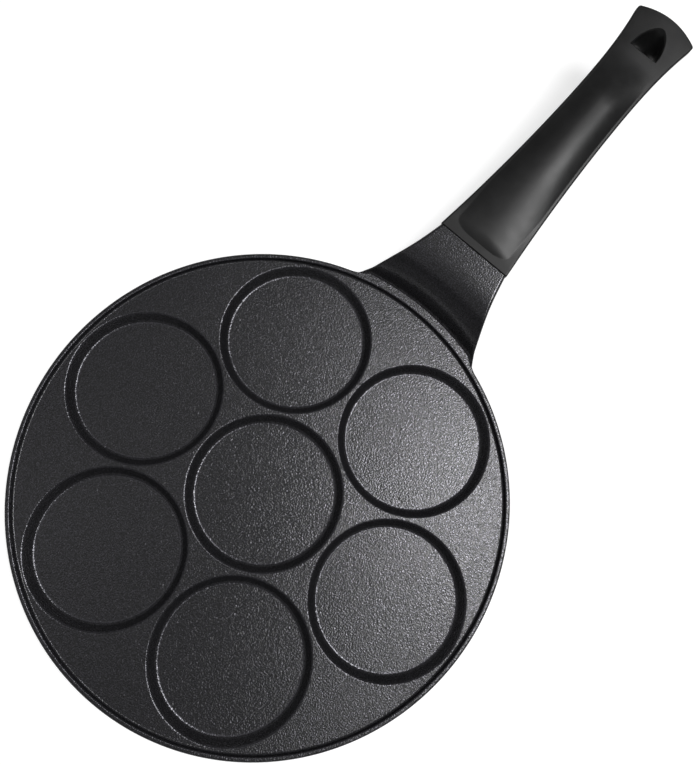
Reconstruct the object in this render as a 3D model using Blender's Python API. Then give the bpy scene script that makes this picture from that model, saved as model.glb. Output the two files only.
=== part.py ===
"""Pancake pan: a die-cast pan with seven shallow round moulds and a screwed-on handle.

Lengths are in metres, +Z is up and +X runs along the handle. The origin lies on the
pan's axis, in the plane of the seven flat feet that the pan stands on.
"""
import math

import bmesh
import bpy
from mathutils import Vector

# Moulds: one in the middle and a ring of them round it
RING_MOULDS = 6
MOULD_RADIUS = 0.0423          # at the plate's surface
MOULD_DEPTH = 0.0055
MOULD_DRAFT = math.radians(33)
MOULD_LIP_FILLET = 0.0011
MOULD_FLOOR_FILLET = 0.0012
LAND_WIDTH = 0.0023            # plate left between two moulds, and between mould and rim
RING_TURN = math.radians(30)   # the handle points between two moulds

# Plate, rim and skirt
FLOOR_THICKNESS = 0.0040       # metal under each mould
PLATE_THICKNESS = 0.0030
RIM_HEIGHT = 0.0032            # above the plate
RIM_WIDTH = 0.0028
RIM_INNER_LEAN = 0.0005        # the rim's inner wall steps in by this much at its foot
RIM_OUTER_FILLET = 0.0011
EDGE_FILLET = 0.0006
SKIRT_THICKNESS = 0.0026
SKIRT_LIFT = 0.0015            # the skirt's lower edge clears the stove by this much
SKIRT_DRAFT = math.radians(12)
FOOT_WALL = 0.0022             # metal round a mould, outside its floor corner
FOOT_FILLET = 0.0008

# Neck: rises from the rim to the seam with the handle
NECK_REACH = 0.0387            # from the rim's outside to the seam
NECK_RISE = 0.0218             # from the rim's top to the handle's top edge at the seam
NECK_ROOT_WIDTH = 0.0870
NECK_TAPER = 0.0094            # half its width loses this much evenly, and the rest as a flare
NECK_FLARE_POWER = 3.2         # how quickly the flare at the rim is gone
NECK_RISE_POWER = 5.5          # how steeply it leaves the rim before it bends into the handle's line
NECK_EDGE_RADIUS = 0.0030
NECK_STEP = 0.0004             # the neck is this much smaller than the handle all round
NECK_EDGE_RUN = 0.17           # share of its length over which its edges become round
NECK_KEEL_POWER = 1.4          # how late its lowest line leaves the skirt
NECK_LEAN_POWER = 3            # how late its sections tip over into the handle's direction
NECK_ROOT_FULLNESS = 4.0       # 2 is an ellipse, more is squarer
NECK_WALL = 0.0040             # metal over the cored hollow, and at its two ends
NECK_FLANK = 0.0085            # metal beside the cored hollow
RIM_EAR_WIDTH = 0.0028         # the rim widens by this much where the neck leaves it
RIM_EAR_OVERLAP = 0.0085       # the widening starts to run out this far inside the neck's root
RIM_EAR_RUNOUT = 0.0108
RIM_EAR_POWER = 1.6

# Handle, measured from the seam along its own straight top edge
HANDLE_INCLINE = math.radians(8)
HANDLE_LENGTH = 0.1732
HANDLE_SEAM_WIDTH = 0.0468
HANDLE_WAIST_WIDTH = 0.0318
HANDLE_END_WIDTH = 0.0388
HANDLE_WAIST_DISTANCE = 0.1180
HANDLE_TAPER_POWER = 1.8       # from the seam to the waist
HANDLE_FLARE_POWER = 2.3       # from the waist to the end
HANDLE_END_BULGE = 0.0042
HANDLE_BULGE_POWER = 6         # how late the sections bend into the round end
HANDLE_END_DEPTH = 0.0135
HANDLE_DEPTH_POWER = 1.3
HANDLE_FULLNESS = 2.4          # 2 is an ellipse, more is squarer
HANDLE_SIDE_HEIGHT = 0.0030    # upright band under the top edge
HANDLE_EDGE_RADIUS = 0.0010
CROWN_HEIGHT = 0.0026
CROWN_FULLNESS = 2.0
CROWN_BORDER = 0.0046          # flat border round the raised crown
CROWN_START = 0.0042
CROWN_RAMP = 0.0104
CROWN_CORNER = 2.9             # 2 rounds its two corners near the seam most, more is squarer
CROWN_FADE_LENGTH = 0.0420
CROWN_END_GAP = 0.0058         # from the crown's end to the hanging hole

# Hanging hole, near the handle's end
HANGING_HOLE_MARGIN = 0.0089   # from the hole's round side to the handle's end
HANGING_HOLE_LENGTH = 0.0165
HANGING_HOLE_WIDTH = 0.0170
HANGING_HOLE_ARCH = 1.65       # 2 is a half ellipse, less is more pointed
HANGING_HOLE_CHAMFER = 0.0007
HANGING_EXIT_LENGTH = 0.0092   # the hole narrows towards its way out below
HANGING_EXIT_WIDTH = 0.0130

# Tang: the tongue of the casting inside the handle
TANG_LENGTH = 0.0460
TANG_WIDTH = 0.0240
TANG_THICKNESS = 0.0080
TANG_TOP_DEPTH = 0.0042        # below the handle's top edge
TANG_TAPER = 0.0030            # narrower by this much at its tip
TANG_CORNER = 0.0015

# Screw and spring washer
SCREW_DISTANCE = 0.0300        # from the seam
SCREW_RADIUS = 0.0025
SCREW_HEAD_RADIUS = 0.0045
SCREW_HEAD_HEIGHT = 0.0026
SCREW_HEAD_FILLET = 0.0015
SCREW_HEAD_SINK = 0.0010       # its face lies this far inside the handle
SCREW_CHAMFER = 0.0008
SCREW_BITE = 0.0070            # length of shank inside the tang
SCREW_RECESS_WIDTH = 0.0012
SCREW_RECESS_SPAN = 0.0046
SCREW_RECESS_DEPTH = 0.0016
WASHER_THICKNESS = 0.0010
WASHER_SPLIT = 0.0008
SEAT_WALL = 0.0027             # handle wall clamped between washer and tang

# Clearances
FIT = 0.0003                   # gap between faces that touch on the real pan
SOCKET_FIT = 0.0004            # gap round the tang
SOCKET_END_FIT = 0.0010
HEAD_FIT = 0.0008              # gap round the screw's head

# Facets
DISC_SEGMENTS = 100
EAR_SEGMENTS = 5
MOULD_SEGMENTS = 40
SMALL_SEGMENTS = 24
SECTION_COLUMNS = 16
NECK_SECTIONS = 15
NECK_SECTION_POWER = 1.5       # the neck's sections lie closer together at the rim
POCKET_SECTIONS = 6
HANDLE_SECTIONS = 15
CROWN_RAMP_SECTIONS = 4
HANGING_HOLE_STEPS = 14
FILLET_STEPS = 2

# Places worked out from the sizes above
HANGING_HOLE_DISTANCE = HANDLE_LENGTH - HANGING_HOLE_MARGIN - HANGING_HOLE_LENGTH
CROWN_END = HANGING_HOLE_DISTANCE - CROWN_END_GAP
MOULD_PITCH = 2 * MOULD_RADIUS + LAND_WIDTH
RING_RADIUS = max(MOULD_PITCH, MOULD_PITCH / 2 / math.sin(math.pi / RING_MOULDS))
RIM_INNER_RADIUS = RING_RADIUS + MOULD_RADIUS + LAND_WIDTH
PAN_RADIUS = RIM_INNER_RADIUS + RIM_WIDTH
PLATE_TOP = FLOOR_THICKNESS + MOULD_DEPTH
PLATE_UNDERSIDE = PLATE_TOP - PLATE_THICKNESS
RIM_TOP = PLATE_TOP + RIM_HEIGHT
MOULD_FLOOR_RADIUS = MOULD_RADIUS - MOULD_DEPTH * math.tan(MOULD_DRAFT)
FOOT_RADIUS = MOULD_FLOOR_RADIUS + FOOT_WALL
SEAM = Vector((PAN_RADIUS + NECK_REACH, 0.0, RIM_TOP + NECK_RISE))
ALONG = Vector((math.cos(HANDLE_INCLINE), 0.0, math.sin(HANDLE_INCLINE)))
ACROSS = Vector((0.0, 1.0, 0.0))
UPWARD = Vector((-math.sin(HANDLE_INCLINE), 0.0, math.cos(HANDLE_INCLINE)))
NECK_ROOT_RADIUS = PAN_RADIUS - RIM_WIDTH / 2
NECK_RUN = SEAM.x - FIT - NECK_ROOT_RADIUS
EAR_START_ANGLE = math.asin(NECK_ROOT_WIDTH / 2 / NECK_ROOT_RADIUS) - RIM_EAR_OVERLAP / PAN_RADIUS
EAR_RUNOUT_ANGLE = RIM_EAR_RUNOUT / PAN_RADIUS
TANG_BOTTOM = -(TANG_TOP_DEPTH + TANG_THICKNESS)
SOCKET_BOTTOM = TANG_BOTTOM - SOCKET_FIT
SCREW_SEAT = SOCKET_BOTTOM - SEAT_WALL
HEAD_TOP = SCREW_SEAT - FIT - WASHER_THICKNESS - FIT
HEAD_BOTTOM = HEAD_TOP - SCREW_HEAD_HEIGHT
DEPTH_SHARE_AT_SCREW = (1 - SCREW_DISTANCE / HANDLE_LENGTH) ** HANDLE_DEPTH_POWER
HANDLE_SEAM_DEPTH = (
    HANDLE_END_DEPTH + (SCREW_HEAD_SINK - HEAD_BOTTOM - HANDLE_END_DEPTH) / DEPTH_SHARE_AT_SCREW)


def clear_scene():
    """Remove every object that the file opened with."""
    for old in list(bpy.data.objects):
        bpy.data.objects.remove(old, do_unlink=True)


def make_material(name, color, roughness, metallic):
    """Return a Principled material."""
    material = bpy.data.materials.new(name)
    material.use_nodes = True
    shader = material.node_tree.nodes["Principled BSDF"]
    shader.inputs["Base Color"].default_value = (*color, 1.0)
    shader.inputs["Roughness"].default_value = roughness
    shader.inputs["Metallic"].default_value = metallic
    return material


def smoothstep(share):
    """Ease a share from 0 to 1."""
    share = min(max(share, 0.0), 1.0)
    return share * share * (3 - 2 * share)


def handle_point(distance, side, height):
    """Return the place of a point given along, across and above the handle's top edge."""
    return SEAM + ALONG * distance + ACROSS * side + UPWARD * height


def fillet_arc(corner, before, after, radius, steps=FILLET_STEPS):
    """Round a profile's corner between two neighbouring points, as (radius, height) pairs."""
    corner = Vector(corner)
    back = (Vector(before) - corner).normalized()
    ahead = (Vector(after) - corner).normalized()
    half_angle = back.angle(ahead) / 2
    centre = corner + (back + ahead).normalized() * (radius / math.sin(half_angle))
    tangent = radius / math.tan(half_angle)
    start = corner + back * tangent - centre
    sweep = (corner + ahead * tangent - centre).angle_signed(start)
    points = []
    for step in range(steps + 1):
        turn = sweep * step / steps
        cosine, sine = math.cos(turn), math.sin(turn)
        spoke = Vector((start.x * cosine - start.y * sine, start.x * sine + start.y * cosine))
        points.append(tuple(centre + spoke))
    return points


def mesh_object(name, mesh_builder, material=None):
    """Make an object from a bmesh with its faces turned outwards."""
    bmesh.ops.recalc_face_normals(mesh_builder, faces=mesh_builder.faces)
    mesh = bpy.data.meshes.new(name)
    mesh_builder.to_mesh(mesh)
    mesh_builder.free()
    mesh.shade_smooth()
    mesh.set_sharp_from_angle(angle=math.radians(35))
    made = bpy.data.objects.new(name, mesh)
    bpy.context.collection.objects.link(made)
    if material:
        mesh.materials.append(material)
    return made


def add_rings(mesh_builder, rings):
    """Join rings of points into a closed solid with a flat face at each end."""
    loops = [[mesh_builder.verts.new(point) for point in ring] for ring in rings]
    for lower, upper in zip(loops, loops[1:]):
        for index in range(len(lower)):
            follower = (index + 1) % len(lower)
            mesh_builder.faces.new((lower[index], lower[follower], upper[follower], upper[index]))
    mesh_builder.faces.new(loops[0])
    mesh_builder.faces.new(loops[-1])


def even_angles(segments):
    """Return evenly spaced angles round a circle."""
    return [2 * math.pi * index / segments for index in range(segments)]


def disc_angles():
    """Return the disc's angles, closer together where the rim's widening runs out."""
    step = EAR_RUNOUT_ANGLE / EAR_SEGMENTS
    fine = []
    for index in range(EAR_SEGMENTS + 1):
        turn = EAR_START_ANGLE + step * index
        fine += [turn, 2 * math.pi - turn]
    first, last = EAR_START_ANGLE - step / 2, EAR_START_ANGLE + EAR_RUNOUT_ANGLE + step / 2
    even = [angle for angle in even_angles(DISC_SEGMENTS) if not first < from_handle(angle) < last]
    return sorted(fine + even)


def turned_rings(profile, angles, centre=(0.0, 0.0), widen=None):
    """Turn (radius, height) pairs about an upright axis; widen gives a radius more by its angle."""
    rings = []
    for radius, height in profile:
        ring = []
        for angle in angles:
            reach = radius + (widen(angle) if widen else 0.0)
            ring.append((centre[0] + reach * math.cos(angle), centre[1] + reach * math.sin(angle), height))
        rings.append(ring)
    return rings


def add_strip_loft(mesh_builder, stations):
    """Loft stations of an upper and a lower row of points, and close both ends with strips."""
    uppers = [[mesh_builder.verts.new(point) for point in upper] for upper, lower in stations]
    lowers = [[mesh_builder.verts.new(point) for point in lower] for upper, lower in stations]
    last_column = len(uppers[0]) - 1
    for station in range(len(stations) - 1):
        for rows in (uppers, lowers):
            for column in range(last_column):
                mesh_builder.faces.new((
                    rows[station][column], rows[station][column + 1],
                    rows[station + 1][column + 1], rows[station + 1][column]))
        for column in (0, last_column):
            mesh_builder.faces.new((
                uppers[station][column], uppers[station + 1][column],
                lowers[station + 1][column], lowers[station][column]))
    for upper, lower in ((uppers[0], lowers[0]), (uppers[-1], lowers[-1])):
        for column in range(last_column):
            mesh_builder.faces.new((upper[column], upper[column + 1], lower[column + 1], lower[column]))


def column_shares():
    """Return places across a section from -1 to 1, closer together at its edges."""
    return [math.sin(math.pi * (column / SECTION_COLUMNS - 0.5)) for column in range(SECTION_COLUMNS + 1)]


def combine(target, operation, tool):
    """Join a tool object to a target, or cut it out, with a Boolean modifier."""
    modifier = target.modifiers.new(tool.name, "BOOLEAN")
    modifier.operation = operation
    modifier.solver = "EXACT"
    modifier.object = tool
    tool.hide_render = True
    tool.display_type = "WIRE"


def mould_centres():
    """Return the middle of each mould, the central one first."""
    centres = [(0.0, 0.0)]
    for index in range(RING_MOULDS):
        angle = RING_TURN + 2 * math.pi * index / RING_MOULDS
        centres.append((RING_RADIUS * math.cos(angle), RING_RADIUS * math.sin(angle)))
    return centres


def from_handle(angle):
    """Return how far an angle lies from the handle, on either side."""
    return abs(math.remainder(angle, 2 * math.pi))


def rim_ear(angle):
    """Return how far the rim widens at an angle from the handle."""
    gone = min(max((from_handle(angle) - EAR_START_ANGLE) / EAR_RUNOUT_ANGLE, 0.0), 1.0)
    return RIM_EAR_WIDTH * (1 - gone) ** RIM_EAR_POWER


def build_disc():
    """Turn the plate, rim and skirt as one profile, from the plate round to its underside."""
    rim_foot = (RIM_INNER_RADIUS - RIM_INNER_LEAN, PLATE_TOP)
    rim_inner_edge = (RIM_INNER_RADIUS, RIM_TOP)
    rim_outer_edge = (PAN_RADIUS, RIM_TOP)
    skirt_run = (RIM_TOP - SKIRT_LIFT) * math.tan(SKIRT_DRAFT)
    skirt_outer_edge = (PAN_RADIUS - skirt_run, SKIRT_LIFT)
    skirt_inner_edge = (skirt_outer_edge[0] - SKIRT_THICKNESS, SKIRT_LIFT)
    skirt_inner_top = (
        skirt_inner_edge[0] + (PLATE_UNDERSIDE - SKIRT_LIFT) * math.tan(SKIRT_DRAFT) / 2, PLATE_UNDERSIDE)
    plate_middle = (0.0, PLATE_TOP)
    underside_middle = (0.0, PLATE_UNDERSIDE)
    inside = fillet_arc(rim_foot, plate_middle, rim_inner_edge, EDGE_FILLET)
    inside += fillet_arc(rim_inner_edge, rim_foot, rim_outer_edge, EDGE_FILLET)
    outside = fillet_arc(rim_outer_edge, rim_inner_edge, skirt_outer_edge, RIM_OUTER_FILLET)
    outside += fillet_arc(skirt_outer_edge, rim_outer_edge, skirt_inner_edge, EDGE_FILLET)
    under = fillet_arc(skirt_inner_edge, skirt_outer_edge, skirt_inner_top, EDGE_FILLET)
    under += fillet_arc(skirt_inner_top, skirt_inner_edge, underside_middle, 2 * EDGE_FILLET)
    angles = disc_angles()
    rings = turned_rings(inside, angles)
    rings += turned_rings(outside, angles, widen=rim_ear)
    rings += turned_rings(under, angles)
    mesh_builder = bmesh.new()
    add_rings(mesh_builder, rings)
    return mesh_object("pan_casting", mesh_builder)


def build_feet():
    """Turn the flat foot under each mould."""
    root = (MOULD_RADIUS, PLATE_UNDERSIDE + PLATE_THICKNESS / 2)
    profile = fillet_arc((FOOT_RADIUS, 0.0), (0.0, 0.0), root, FOOT_FILLET)
    profile.append(root)
    mesh_builder = bmesh.new()
    for centre in mould_centres():
        add_rings(mesh_builder, turned_rings(profile, even_angles(MOULD_SEGMENTS), centre))
    return mesh_object("feet", mesh_builder)


def build_mould_cutters():
    """Turn the hollow of each mould, with its rounded lip and floor corner."""
    lip = (MOULD_RADIUS, PLATE_TOP)
    corner = (MOULD_FLOOR_RADIUS, FLOOR_THICKNESS)
    rounded_lip = fillet_arc(lip, (2 * MOULD_RADIUS, PLATE_TOP), corner, MOULD_LIP_FILLET)
    above = EDGE_FILLET / 10
    clear_height = RIM_TOP + RIM_HEIGHT
    profile = [(rounded_lip[0][0], clear_height), (rounded_lip[0][0], PLATE_TOP + above)]
    profile += rounded_lip[1:]
    profile += fillet_arc(corner, lip, (0.0, FLOOR_THICKNESS), MOULD_FLOOR_FILLET)
    mesh_builder = bmesh.new()
    for centre in mould_centres():
        add_rings(mesh_builder, turned_rings(profile, even_angles(MOULD_SEGMENTS), centre))
    return mesh_object("mould_cutters", mesh_builder)


def neck_top(reach, ear):
    """Return the neck's top height at a distance from the pan's axis.

    It leaves the rim's widened band steeply and bends into the line of the handle's top edge.
    """
    band_end = PAN_RADIUS + ear - RIM_OUTER_FILLET / 2
    if reach <= band_end:
        return RIM_TOP - EDGE_FILLET / 4
    slope = math.tan(HANDLE_INCLINE)
    end_height = SEAM.z - NECK_STEP
    drop = end_height - slope * (SEAM.x - band_end) - RIM_TOP
    left = max(0.0, SEAM.x - reach)
    return end_height - slope * left - drop * (left / (SEAM.x - band_end)) ** NECK_RISE_POWER


def neck_half_width(share):
    """Return half the neck's width, from its root at share 0 to the seam at share 1."""
    end = HANDLE_SEAM_WIDTH / 2 - NECK_STEP
    flare = NECK_ROOT_WIDTH / 2 - end - NECK_TAPER
    return end + NECK_TAPER * (1 - share) + flare * (1 - share) ** NECK_FLARE_POWER


def neck_bottom(share):
    """Return the neck's lowest height, from the skirt to the seam."""
    start = SKIRT_LIFT + 2 * EDGE_FILLET
    end = SEAM.z - (HANDLE_SEAM_DEPTH - NECK_STEP) * math.cos(HANDLE_INCLINE)
    return start + (end - start) * share ** NECK_KEEL_POWER


def neck_station(share, hollow=False):
    """Return the upper and lower rows of points of one section of the neck or its hollow."""
    reach = NECK_ROOT_RADIUS + NECK_RUN * share
    blend = smoothstep(share)
    half_width = neck_half_width(share) - (NECK_FLANK if hollow else 0.0)
    bottom = neck_bottom(share)
    fullness = NECK_ROOT_FULLNESS + (HANDLE_FULLNESS - NECK_ROOT_FULLNESS) * blend
    lean = math.tan(HANDLE_INCLINE) * blend ** NECK_LEAN_POWER
    draft = math.tan(SKIRT_DRAFT) * (1 - blend)
    upper, lower = [], []
    for place in column_shares():
        side = half_width * place
        curved = math.sqrt(reach * reach - side * side)
        ahead = curved + (reach - curved) * blend
        centre_angle = math.atan2(side, ahead)
        around = reach + (ahead - reach) * blend
        edge = max(0.0, abs(side) - (half_width - NECK_EDGE_RADIUS)) / NECK_EDGE_RADIUS
        drop = NECK_EDGE_RADIUS * (1 - math.sqrt(max(0.0, 1 - edge * edge)))
        top = neck_top(around, rim_ear(centre_angle)) - drop * smoothstep(share / NECK_EDGE_RUN)
        belly = (1 - abs(place) ** fullness) ** (1 / fullness)
        base = top - NECK_EDGE_RADIUS * blend - (top - NECK_EDGE_RADIUS * blend - bottom) * belly
        if hollow:
            top -= NECK_WALL
            base = -RIM_TOP
        upper.append((ahead + lean * (SEAM.z - top), side, top))
        lower.append((ahead + lean * (SEAM.z - base) - draft * (top - base), side, base))
    return upper, lower


def build_neck():
    """Loft the neck from inside the rim to the seam."""
    mesh_builder = bmesh.new()
    places = [(index / NECK_SECTIONS) ** NECK_SECTION_POWER for index in range(NECK_SECTIONS + 1)]
    add_strip_loft(mesh_builder, [neck_station(share) for share in places])
    return mesh_object("neck", mesh_builder)


def build_neck_pocket():
    """Loft the cored hollow under the neck, open below."""
    first = (RIM_WIDTH / 2 + RIM_EAR_WIDTH + NECK_WALL / 2) / NECK_RUN
    last = 1 - 2 * NECK_WALL / NECK_RUN
    places = [first + (last - first) * index / POCKET_SECTIONS for index in range(POCKET_SECTIONS + 1)]
    mesh_builder = bmesh.new()
    add_strip_loft(mesh_builder, [neck_station(share, hollow=True) for share in places])
    return mesh_object("neck_pocket", mesh_builder)


def tang_rings(grow, start, end):
    """Return rings of a tapered, round-cornered bar along the handle, grown all round."""
    rings = []
    for distance in (start, end):
        share = max(0.0, distance) / TANG_LENGTH
        half_width = (TANG_WIDTH - TANG_TAPER * share) / 2 + grow
        top = -TANG_TOP_DEPTH + grow
        bottom = TANG_BOTTOM - grow
        corners = ((half_width, top), (-half_width, top), (-half_width, bottom), (half_width, bottom))
        ring = []
        for index, corner in enumerate(corners):
            neighbours = corners[index - 1], corners[(index + 1) % 4]
            ring += fillet_arc(corner, *neighbours, TANG_CORNER + grow)
        rings.append([handle_point(distance, side, height) for side, height in ring])
    return rings


def build_tang():
    """Loft the tongue that carries the handle."""
    mesh_builder = bmesh.new()
    add_rings(mesh_builder, tang_rings(0.0, -NECK_WALL, TANG_LENGTH))
    return mesh_object("tang", mesh_builder)


def bored_rings(profile):
    """Turn (radius, height) pairs about the screw's axis, with no corner in the plane of symmetry."""
    half_step = math.pi / SMALL_SEGMENTS
    rings = []
    for ring in turned_rings(profile, [angle + half_step for angle in even_angles(SMALL_SEGMENTS)]):
        rings.append([handle_point(SCREW_DISTANCE + point[0], point[1], point[2]) for point in ring])
    return rings


def build_bore(name, profile):
    """Turn a cutter about the screw's axis."""
    mesh_builder = bmesh.new()
    add_rings(mesh_builder, bored_rings(profile))
    return mesh_object(name, mesh_builder)


def build_casting(material):
    """Join the disc, feet, neck and tang into one casting and cut its hollows."""
    casting = build_disc()
    casting.data.materials.append(material)
    combine(casting, "UNION", build_feet())
    combine(casting, "UNION", build_neck())
    combine(casting, "UNION", build_tang())
    combine(casting, "DIFFERENCE", build_mould_cutters())
    combine(casting, "DIFFERENCE", build_neck_pocket())
    tapped_hole = ((SCREW_RADIUS + FIT, TANG_BOTTOM - FIT), (SCREW_RADIUS + FIT, 0.0))
    combine(casting, "DIFFERENCE", build_bore("tapped_hole", tapped_hole))
    return casting


def handle_half_width(distance):
    """Return half the handle's width: wide at the seam, narrow at the waist, wide at the end."""
    waist = HANDLE_WAIST_WIDTH / 2
    if distance < HANDLE_WAIST_DISTANCE:
        share = 1 - distance / HANDLE_WAIST_DISTANCE
        return waist + (HANDLE_SEAM_WIDTH / 2 - waist) * share ** HANDLE_TAPER_POWER
    share = (distance - HANDLE_WAIST_DISTANCE) / (HANDLE_LENGTH - HANDLE_END_BULGE - HANDLE_WAIST_DISTANCE)
    return waist + (HANDLE_END_WIDTH / 2 - waist) * min(share, 1.0) ** HANDLE_FLARE_POWER


def handle_depth(distance):
    """Return the handle's depth under its top edge."""
    share = (1 - distance / HANDLE_LENGTH) ** HANDLE_DEPTH_POWER
    return HANDLE_END_DEPTH + (HANDLE_SEAM_DEPTH - HANDLE_END_DEPTH) * share


def crown_height(distance, side, half_width):
    """Return how far the raised crown stands above the handle's flat border."""
    aside = abs(side) / (half_width - CROWN_BORDER)
    before = 1 - min(1.0, max(0.0, distance - CROWN_START) / CROWN_RAMP)
    outward = (aside ** CROWN_CORNER + before ** CROWN_CORNER) ** (1 / CROWN_CORNER)
    fade = smoothstep((CROWN_END - distance) / CROWN_FADE_LENGTH)
    return CROWN_HEIGHT * max(0.0, 1 - outward ** CROWN_FULLNESS) * fade


def handle_station(distance, shrink):
    """Return the upper and lower rows of points of one section of the handle."""
    half_width = handle_half_width(distance) - shrink
    depth = handle_depth(distance)
    upper, lower = [], []
    for place in column_shares():
        side = half_width * place
        curve = HANDLE_END_BULGE * place * place * (distance / HANDLE_LENGTH) ** HANDLE_BULGE_POWER
        edge = max(0.0, abs(side) - (half_width - HANDLE_EDGE_RADIUS)) / HANDLE_EDGE_RADIUS
        drop = HANDLE_EDGE_RADIUS * (1 - math.sqrt(max(0.0, 1 - edge * edge)))
        top = crown_height(distance, side, half_width) - drop - shrink
        belly = (1 - abs(place) ** HANDLE_FULLNESS) ** (1 / HANDLE_FULLNESS)
        base = -HANDLE_SIDE_HEIGHT - (depth - HANDLE_SIDE_HEIGHT - shrink) * belly
        upper.append(handle_point(distance - curve, side, top))
        lower.append(handle_point(distance - curve, side, base))
    return upper, lower


def hanging_outline(length, width, grow):
    """Return the arched outline of the hanging hole, with its flat side towards the pan."""
    points = []
    for step in range(HANGING_HOLE_STEPS + 1):
        across = math.cos(math.pi * step / HANGING_HOLE_STEPS)
        rise = math.sqrt(max(0.0, 1 - abs(across) ** HANGING_HOLE_ARCH))
        points.append((
            HANGING_HOLE_DISTANCE - grow + (length + 2 * grow) * rise,
            (width / 2 + grow) * across))
    return points


def build_hanging_cutter():
    """Loft the hanging hole: a chamfered mouth that narrows to a smaller way out."""
    mouth = (HANGING_HOLE_LENGTH, HANGING_HOLE_WIDTH)
    leaving = (HANGING_EXIT_LENGTH, HANGING_EXIT_WIDTH)
    levels = (
        (2 * HANGING_HOLE_CHAMFER, *mouth, 2 * HANGING_HOLE_CHAMFER),
        (-HANGING_HOLE_CHAMFER, *mouth, 0.0),
        (-HANDLE_END_DEPTH, *leaving, 0.0),
        (-2 * HANDLE_END_DEPTH, *leaving, 0.0),
    )
    rings = []
    for height, length, width, grow in levels:
        outline = hanging_outline(length, width, grow)
        rings.append([handle_point(distance, side, height) for distance, side in outline])
    mesh_builder = bmesh.new()
    add_rings(mesh_builder, rings)
    return mesh_object("hanging_cutter", mesh_builder)


def build_handle(material):
    """Loft the handle, then cut its socket, screw seat and hanging hole."""
    corner = HANDLE_EDGE_RADIUS
    stations = [(0.0, corner / 2), (corner / 2, 0.0)]
    for step in range(CROWN_RAMP_SECTIONS + 1):
        stations.append((CROWN_START + CROWN_RAMP * (step / CROWN_RAMP_SECTIONS) ** 2, 0.0))
    start = CROWN_START + CROWN_RAMP
    plain = HANDLE_LENGTH - 2 * corner - start
    stations += [(start + plain * index / HANDLE_SECTIONS, 0.0) for index in range(1, HANDLE_SECTIONS + 1)]
    for degrees in (0, 45, 90):
        turn = math.radians(degrees)
        stations.append((HANDLE_LENGTH - corner * (1 - math.sin(turn)), corner * (1 - math.cos(turn))))
    mesh_builder = bmesh.new()
    add_strip_loft(mesh_builder, [handle_station(distance, shrink) for distance, shrink in stations])
    handle = mesh_object("handle_grip", mesh_builder, material)

    mesh_builder = bmesh.new()
    add_rings(mesh_builder, tang_rings(SOCKET_FIT, -NECK_WALL, TANG_LENGTH + SOCKET_END_FIT))
    combine(handle, "DIFFERENCE", mesh_object("socket", mesh_builder))
    below = -2 * HANDLE_SEAM_DEPTH
    shank_hole = ((SCREW_RADIUS + FIT, TANG_BOTTOM), (SCREW_RADIUS + FIT, below))
    combine(handle, "DIFFERENCE", build_bore("shank_hole", shank_hole))
    head_hole = ((SCREW_HEAD_RADIUS + HEAD_FIT, SCREW_SEAT), (SCREW_HEAD_RADIUS + HEAD_FIT, below))
    combine(handle, "DIFFERENCE", build_bore("head_hole", head_hole))
    combine(handle, "DIFFERENCE", build_hanging_cutter())
    return handle


def build_screw(material):
    """Turn the screw that holds the handle to the tang, and cut its cross recess."""
    shank_top = TANG_BOTTOM + SCREW_BITE
    profile = [
        (SCREW_RADIUS - SCREW_CHAMFER, shank_top),
        (SCREW_RADIUS, shank_top - SCREW_CHAMFER),
        (SCREW_RADIUS, HEAD_TOP),
        (SCREW_HEAD_RADIUS, HEAD_TOP),
    ]
    profile += fillet_arc((SCREW_HEAD_RADIUS, HEAD_BOTTOM), profile[-1], (0.0, HEAD_BOTTOM), SCREW_HEAD_FILLET)
    screw = build_bore("handle_screw", profile)
    screw.data.materials.append(material)

    half_span, half_width = SCREW_RECESS_SPAN / 2, SCREW_RECESS_WIDTH / 2
    cross = []
    for quarter in range(4):
        turn = math.pi / 2 * quarter
        for along, across in ((half_span, -half_width), (half_span, half_width), (half_width, half_width)):
            cross.append((
                along * math.cos(turn) - across * math.sin(turn),
                along * math.sin(turn) + across * math.cos(turn)))
    mesh_builder = bmesh.new()
    levels = (HEAD_BOTTOM - SCREW_HEAD_HEIGHT, HEAD_BOTTOM + SCREW_RECESS_DEPTH)
    add_rings(mesh_builder, [
        [handle_point(SCREW_DISTANCE + along, across, height) for along, across in cross] for height in levels])
    combine(screw, "DIFFERENCE", mesh_object("cross_recess", mesh_builder))
    return screw


def build_washer(material):
    """Bend the split spring washer between the screw's head and its seat."""
    inner, outer = SCREW_RADIUS + FIT, SCREW_HEAD_RADIUS
    top = SCREW_SEAT - FIT
    mesh_builder = bmesh.new()
    rings = []
    for index in range(SMALL_SEGMENTS + 1):
        split = WASHER_SPLIT / 2 / inner
        angle = split + (2 * math.pi - 2 * split) * index / SMALL_SEGMENTS
        ring = []
        bottom = top - WASHER_THICKNESS
        for radius, height in ((inner, top), (outer, top), (outer, bottom), (inner, bottom)):
            ring.append(handle_point(SCREW_DISTANCE + radius * math.cos(angle), radius * math.sin(angle), height))
        rings.append(ring)
    add_rings(mesh_builder, rings)
    return mesh_object("spring_washer", mesh_builder, material)


def main():
    """Build the four pieces of the pan."""
    clear_scene()
    coating = make_material("nonstick_coating", (0.035, 0.036, 0.040), 0.42, 0.0)
    bakelite = make_material("black_bakelite", (0.018, 0.018, 0.019), 0.46, 0.0)
    zinc_steel = make_material("plated_steel", (0.62, 0.62, 0.60), 0.32, 1.0)
    build_casting(coating)
    build_handle(bakelite)
    build_screw(zinc_steel)
    build_washer(zinc_steel)


main()
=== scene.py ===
import logging
from dataclasses import dataclass, field
from enum import Enum
from functools import partial, reduce
from math import asin, atan2, cos, pi, radians, remainder, sin, sqrt, tan
from typing import Callable, Sequence

import bpy
from mathutils import Matrix, Vector


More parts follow.
